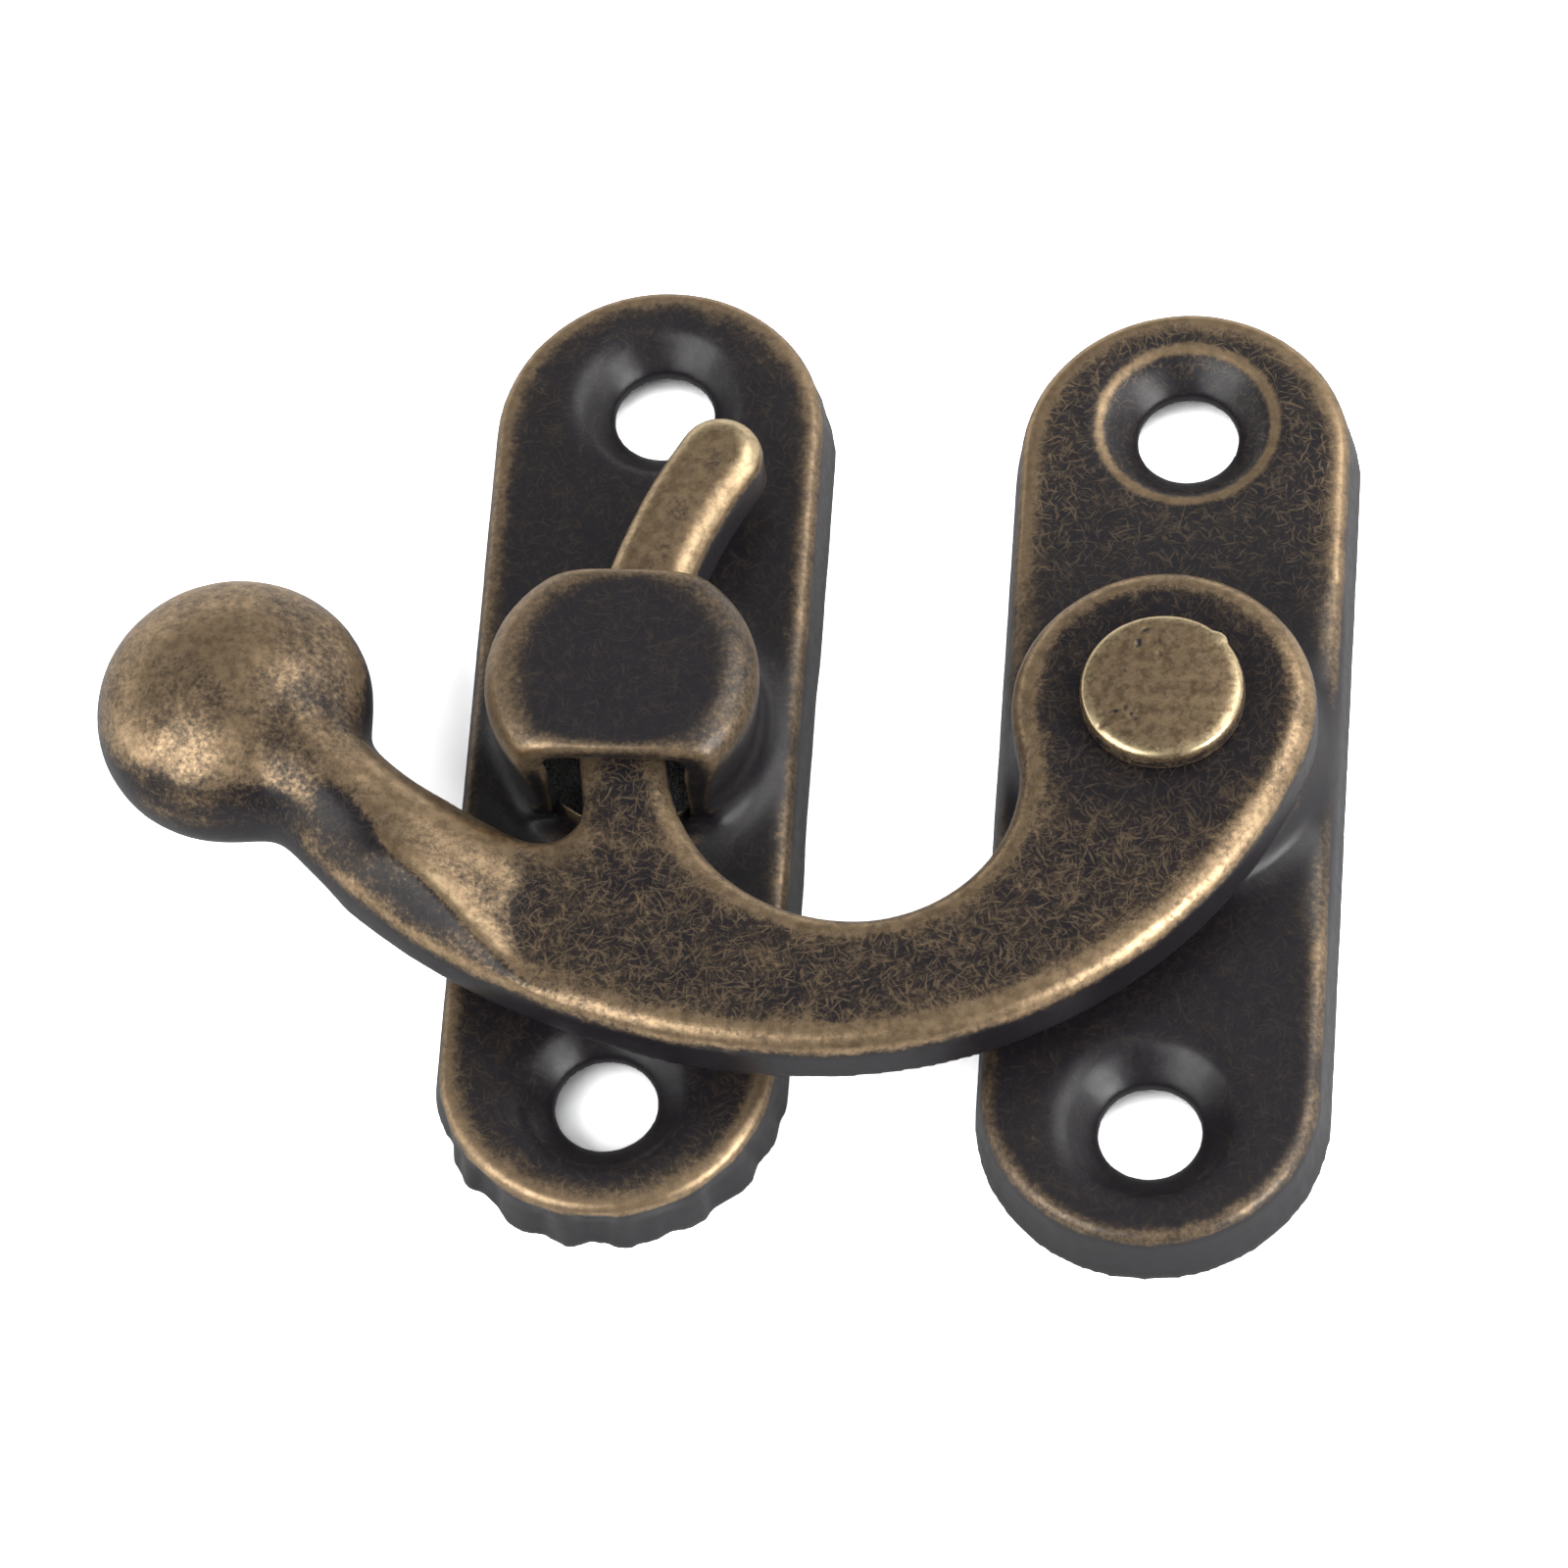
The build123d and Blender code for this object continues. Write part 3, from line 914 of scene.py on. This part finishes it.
def left_of(points, line):
    """How far points lie to the left of a level line, given by a place on it and its direction."""
    x, y, turn = line
    return (points[:, 1] - y) * cos(turn) - (points[:, 0] - x) * sin(turn)


def ridge_slopes(points):
    """Heights of the two slopes that meet in the neck's ridge: up from the arm, down to the rim."""
    rise = FLAT_TOP + STEP_SLOPE * left_of(points, RIDGE_STEP)
    fall = FLAT_TOP - RIM_DROP + RIM_SLOPE * left_of(points, RIDGE_RIM)
    return rise, fall


def ridge_lift(points, normals):
    """How far the skin is lifted to the neck's ridge, where that runs out on the arm."""
    lift = np.clip(np.minimum(*ridge_slopes(points)) - points[:, 2], 0.0, RIDGE_LIFT)
    lift *= ease(0.2, 0.6, normals[:, 2])
    return lift * ease(-4.0, -6.0, points[:, 1]) * (points[:, 0] < -15.0)


class BOXHASP_OT_hook(bpy.types.Operator):
    """Dress the cast hook with its finger, neck and knob"""

    bl_idname = "boxhasp.hook"
    bl_label = "Hook"

    def execute(self, context):
        shape = context.scene.box_hasp_shape
        low, high = (np.array(corner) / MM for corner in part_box("hook"))
        knob = np.array([low[0] + KNOB_RADIUS, KNOB_PLACE_Y, (low[2] + high[2]) / 2.0])

        piece = resurfaced("hook", shape.hook_grid)
        mesh = piece.data
        net = Neighbours(mesh)
        points = net.smooth(points_of(mesh), HOOK_ROUNDS)
        away = flat_distance(points, knob)
        joint = ease(1.6, 2.8, away) * ease(6.4, 5.0, away)
        joint *= ease(1.6, 0.2, across_neck(points, knob))
        neck = ease(-12.2, -14.2, points[:, 0]) * ease(3.0, 3.8, away)
        put_points(mesh, points)
        points[:, 2] += ridge_lift(points, normals_of(mesh)) * ease(5.0, 7.0, away)
        points = net.smooth(points, NECK_ROUNDS, neck * NECK_SOFTNESS)
        points = net.smooth(points, KNOB_ROOT_ROUNDS, joint)
        put_points(mesh, points)
        put_attribute(mesh, "wrinkle", np.zeros_like(points))

        def rub(points, normals):
            away = flat_distance(points, knob)
            on_knob = ease(4.8, 3.3, away)
            crown = ease(0.92, 0.995, normals @ KNOB_CROWN)
            # painted shade: masks of the knob's front, sides, right and left, by the way they face
            front = ease(-0.40, -0.64, normals[:, 1]) * ease(0.80, 0.64, normals[:, 2])
            front *= ease(0.18, 0.42, normals[:, 2])
            under = ease(-0.1, -0.6, normals[:, 2])
            from_pivot = np.hypot(points[:, 0], points[:, 1])
            on_finger = ease(1.3, 0.9, np.abs(from_pivot - FINGER_RADIUS))
            on_finger *= ease(-1.5, 1.5, points[:, 1])
            on_finger *= ease(-8.0, -9.0, points[:, 0])
            on_neck = ease(-14.0, -16.5, points[:, 0]) * (1.0 - on_knob)
            facing = ease(0.1, 0.55, normals[:, 2])
            # the flank's darkening is partly patina and partly painted shade
            flank = on_neck * ease(0.04, 0.26, normals @ FLANK_FACING)
            flank *= ease(0.40, 0.75, normals[:, 2])
            flank *= ease(FLAT_TOP - 0.35, FLAT_TOP - 0.05, points[:, 2])
            # worn metal and painted highlight on the neck's right-facing step
            step = ease(-12.8, -15.2, points[:, 0]) * ease(0.10, 0.32, normals[:, 0])
            step *= 1.0 - on_knob
            painted_equator_shade = ease(0.50, 0.10, normals[:, 2])
            right = ease(0.05, 0.35, normals[:, 0])
            left = ease(-0.48, -0.85, normals[:, 0])
            wear = ARM_WEAR * facing * ease(2.4, 4.6, from_pivot) - SIDE_PATINA * (1.0 - facing)
            # painted shade of the hood on the finger's root
            wear -= ROOT_PAINTED_SHADE * ease(2.0, 0.6, flat_distance(points, FINGER_ROOT))
            # painted shade on the knob's front, sides, right and left; the crown's darkening is
            # patina in its flat top
            knob_wear = KNOB_WEAR - CROWN_PATINA * crown - KNOB_FRONT_PAINTED_SHADE * front
            knob_wear -= KNOB_EQUATOR_PAINTED_SHADE * painted_equator_shade
            knob_wear -= KNOB_RIGHT_PAINTED_SHADE * right
            knob_wear -= KNOB_LEFT_PAINTED_SHADE * left
            wear += on_knob * knob_wear * (1.0 - 0.6 * under)
            wear += on_finger * (FINGER_TOP_WEAR * facing + FINGER_WEAR)
            wear += on_neck * NECK_WEAR * facing - FLANK_PATINA_AND_SHADE * flank + STEP_WEAR_AND_HIGHLIGHT * step * facing
            rise, fall = ridge_slopes(points)
            wear -= RIDGE_PATINA * flank * np.exp(-((rise - fall) / RIDGE_WIDTH) ** 2)
            brushed = facing * (1.0 - KNOB_SPARED * on_knob) * (1.0 - FINGER_SPARED * on_finger)
            brushed *= 1.0 - FLANK_SPARED * flank
            brushed *= EYE_BRUSHED + ARM_BRUSHED * ease(2.6, 5.0, from_pivot)
            return wear, brushed

        material = antique_brass(
            "antique_hook_brass", reach=1.25, breakup=0.75, tarnish=0.6, scratch=0.28, density=0.46,
            dust=0.0, gloss=0.32, shine=0.28,
        )
        dressed("hook", piece, material, "hook", shape.hook_grid, rub)
        return {"FINISHED"}


class BOXHASP_OT_rivet(bpy.types.Operator):
    """Dress the rivet, with the marks of its setting"""

    bl_idname = "boxhasp.rivet"
    bl_label = "Rivet"

    def execute(self, context):
        shape = context.scene.box_hasp_shape
        high = np.array(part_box("rivet")[1]) / MM
        piece = resurfaced("rivet", shape.rivet_grid)
        mesh = piece.data
        net = Neighbours(mesh)
        points = net.smooth(points_of(mesh), RIVET_ROUNDS)
        put_points(mesh, points)
        upper = ease(high[2] - 0.6, high[2] - 0.3, points[:, 2])
        out = np.hypot(points[:, 0], points[:, 1])
        points = net.smooth(points, HEAD_RIM_ROUNDS, upper * ease(1.2, 1.7, out))
        points[:, 2] -= HEAD_DOME * upper * (out / out.max()) ** 2
        put_points(mesh, points)
        top = upper * ease(0.6, 0.95, normals_of(mesh)[:, 2])
        draw = np.random.default_rng(shape.seed)
        for mark in SETTING_MARKS:
            for _ in range(NICKS_IN_MARK):
                place = np.array(mark) + draw.normal(0.0, NICK_SPREAD, 2)
                turn = draw.uniform(*NICK_TURNS)
                right, up = (points[:, :2] - place).T
                across = right * sin(turn) - up * cos(turn)
                along = right * cos(turn) + up * sin(turn)
                half_length = draw.uniform(*NICK_HALF_LENGTHS)
                nick = np.exp(-(across / NICK_HALF_WIDTH) ** 2 - (along / half_length) ** 2)
                points[:, 2] -= top * nick * draw.uniform(*NICK_DEPTHS)
        burr = ease(BURR_REACH, 0.05, flat_distance(points, BURR))
        burr *= ease(high[2] - 0.5, high[2] - 0.2, points[:, 2])
        outward = points[:, :2] / np.maximum(np.hypot(points[:, 0], points[:, 1]), 0.1)[:, None]
        points[:, :2] += outward * (BURR_SIZE * burr)[:, None]
        put_points(mesh, points)
        put_attribute(mesh, "wrinkle", np.zeros_like(points))

        def rub(points, normals):
            facing = ease(0.3, 0.8, normals[:, 2])
            head = ease(high[2] - 0.7, high[2] - 0.5, points[:, 2])
            return RIVET_WEAR + RIVET_TOP_WEAR * facing * head, RIVET_BRUSHED * facing * head

        material = antique_brass(
            "antique_rivet_brass", reach=0.7, breakup=1.1, tarnish=0.8, scratch=0.30, density=0.46,
            dust=0.0, gloss=0.30,
        )
        dressed(
            "rivet", piece, material, "plates", shape.rivet_grid, rub, dent_share=1.4
        )
        return {"FINISHED"}


# Stage

def plane_object(name, size, height):
    """A flat square."""
    mesh = bpy.data.meshes.new(name)
    half = size / 2.0
    sides = ((-half, -half), (half, -half), (half, half), (-half, half))
    mesh.from_pydata([(x, y, height) for x, y in sides], [], [(0, 1, 2, 3)])
    made = bpy.data.objects.new(name, mesh)
    bpy.context.scene.collection.objects.link(made)
    return made


def floor_material(stage):
    """A matt pale floor that is seen brighter than it is lit, up to white, with painted shade where
    it is under cover.
    """
    material = bpy.data.materials.new("pale_floor")
    material.use_nodes = True
    tree = material.node_tree
    tree.nodes.clear()
    pale = tuple(stage.floor)
    mirrored = tuple(channel * stage.floor_mirrored for channel in pale)
    bright = tuple(channel * stage.floor_gain for channel in pale)
    lifted = tuple(SHADOW_LIFT * channel for channel in bright)
    painted_shade_colour = tuple(PAINTED_SHADE_SHARE * channel for channel in pale)
    cover = node_in(tree, "ShaderNodeAmbientOcclusion", {"Distance": stage.painted_shade_reach}, samples=8)
    # painted shade: where ambient occlusion finds the floor under cover, as under the hood, it is
    # seen nearly black
    painted_shade_under_cover = stepped(tree, cover.outputs["AO"], 0.30, 0.08)
    in_shadow = stepped(tree, cover.outputs["AO"], 0.95, 0.35)
    path = tree.nodes.new("ShaderNodeLightPath").outputs
    bounced = maths(tree, "MAXIMUM", path["Is Glossy Ray"], path["Is Transmission Ray"])
    shown = mixed(tree, bounced, pale, mirrored)
    seen = mixed(tree, in_shadow, bright, lifted)
    seen = mixed(tree, painted_shade_under_cover, seen, painted_shade_colour)
    shown = mixed(tree, path["Is Camera Ray"], shown, seen)
    matt = node_in(tree, "ShaderNodeBsdfDiffuse", {"Color": shown})
    tree.links.new(matt.outputs[0], tree.nodes.new("ShaderNodeOutputMaterial").inputs["Surface"])
    return material


def room(stage):
    """A dim room with a white backdrop behind and beside the latch, and a dark side before it."""
    world = bpy.data.worlds.new("Soft room")
    bpy.context.scene.world = world
    world.use_nodes = True
    tree = world.node_tree
    tree.nodes.clear()
    toward = tree.nodes.new("ShaderNodeTexCoord").outputs["Generated"]
    parts = node_in(tree, "ShaderNodeSeparateXYZ", {0: toward}).outputs
    front = stepped(tree, parts["Y"], -0.25, -0.60)
    low = stepped(tree, parts["Z"], 0.36, 0.10)
    path = tree.nodes.new("ShaderNodeLightPath").outputs
    shade = maths(tree, "MULTIPLY", front, maths(tree, "SUBTRACT", 1.0, path["Is Camera Ray"]))

    def blend(factor, first, second):
        return node_in(
            tree, "ShaderNodeMix", {0: factor, 2: first, 3: second}, data_type="FLOAT"
        ).outputs[0]

    light = blend(low, stage.room_light, stage.backdrop)
    light = blend(shade, light, stage.front_light)
    backdrop = node_in(
        tree, "ShaderNodeBackground", {"Color": (1.0, 1.0, 1.0, 1.0), "Strength": light}
    )
    tree.links.new(backdrop.outputs[0], tree.nodes.new("ShaderNodeOutputWorld").inputs["Surface"])


def soft_lamp(name, toward, target, distance, size, light):
    """A soft lamp that points at the target; its power follows from its size and brightness."""
    data = bpy.data.lights.new(name, "AREA")
    data.shape = "RECTANGLE"
    data.size, data.size_y = size
    data.energy = light * pi * size[0] * size[1]
    lamp = bpy.data.objects.new(name, data)
    lamp.location = Vector(target) + Vector(toward).normalized() * distance
    lamp.rotation_euler = (Vector(target) - lamp.location).to_track_quat("-Z", "Y").to_euler()
    bpy.context.scene.collection.objects.link(lamp)


class BOXHASP_OT_stage(bpy.types.Operator):
    """Set up the floor, the light and the camera"""

    bl_idname = "boxhasp.stage"
    bl_label = "Stage"

    def execute(self, context):
        scene = context.scene
        stage = scene.box_hasp_stage
        scene.view_settings.view_transform = "Standard"
        floor = plane_object("pale_floor", FLOOR_SIZE, -FLOOR_DEPTH)
        floor.data.materials.append(floor_material(stage))
        room(stage)
        target = Vector(stage.target)
        for name, toward, size, part in SOFT_LAMPS:
            soft_lamp(name, toward, target, stage.lamp_distance, size, part * stage.lamp_light)

        lift, swing, roll = stage.elevation, stage.azimuth, stage.roll
        right = Vector((cos(swing), sin(swing), 0.0))
        up = Vector((-sin(swing) * sin(lift), cos(swing) * sin(lift), cos(lift)))
        back = Vector((sin(swing) * cos(lift), -cos(swing) * cos(lift), sin(lift)))
        across = right * cos(roll) - up * sin(roll)
        upward = right * sin(roll) + up * cos(roll)
        data = bpy.data.cameras.new("photo_camera")
        data.sensor_width = SENSOR_WIDTH
        data.lens = stage.focal_length
        data.clip_start = CLIP_START
        data.clip_end = CLIP_END
        camera = bpy.data.objects.new("photo_camera", data)
        turn = Matrix((across, upward, back)).transposed().to_4x4()
        camera.matrix_world = Matrix.Translation(target + back * stage.distance) @ turn
        scene.collection.objects.link(camera)
        scene.camera = camera
        return {"FINISHED"}


class BOXHASP_PT_panel(bpy.types.Panel):
    """The latch's pieces and settings"""

    bl_idname = "BOXHASP_PT_panel"
    bl_label = "Box hasp"
    bl_space_type = "VIEW_3D"
    bl_region_type = "UI"
    bl_category = "Box hasp"

    def draw(self, context):
        layout = self.layout
        for piece in PIECES + ("stage",):
            layout.operator("boxhasp." + piece)
        scene = context.scene
        for settings in (scene.box_hasp_finish, scene.box_hasp_shape, scene.box_hasp_stage):
            for name in settings.bl_rna.properties.keys():
                if name not in {"rna_type", "name"}:
                    layout.prop(settings, name)


CLASSES = (
    BoxHaspFinish,
    BoxHaspShape,
    BoxHaspStage,
    BOXHASP_OT_catch_plate,
    BOXHASP_OT_pivot_plate,
    BOXHASP_OT_hook,
    BOXHASP_OT_rivet,
    BOXHASP_OT_stage,
    BOXHASP_PT_panel,
)


def register():
    for cls in CLASSES:
        bpy.utils.register_class(cls)
    bpy.types.Scene.box_hasp_finish = PointerProperty(type=BoxHaspFinish)
    bpy.types.Scene.box_hasp_shape = PointerProperty(type=BoxHaspShape)
    bpy.types.Scene.box_hasp_stage = PointerProperty(type=BoxHaspStage)


def unregister():
    del bpy.types.Scene.box_hasp_stage
    del bpy.types.Scene.box_hasp_shape
    del bpy.types.Scene.box_hasp_finish
    for cls in reversed(CLASSES):
        bpy.utils.unregister_class(cls)


def main():
    register()
    for piece in PIECES:
        getattr(bpy.ops.boxhasp, piece)()
    bpy.ops.boxhasp.stage()


if __name__ == "__main__":
    main()
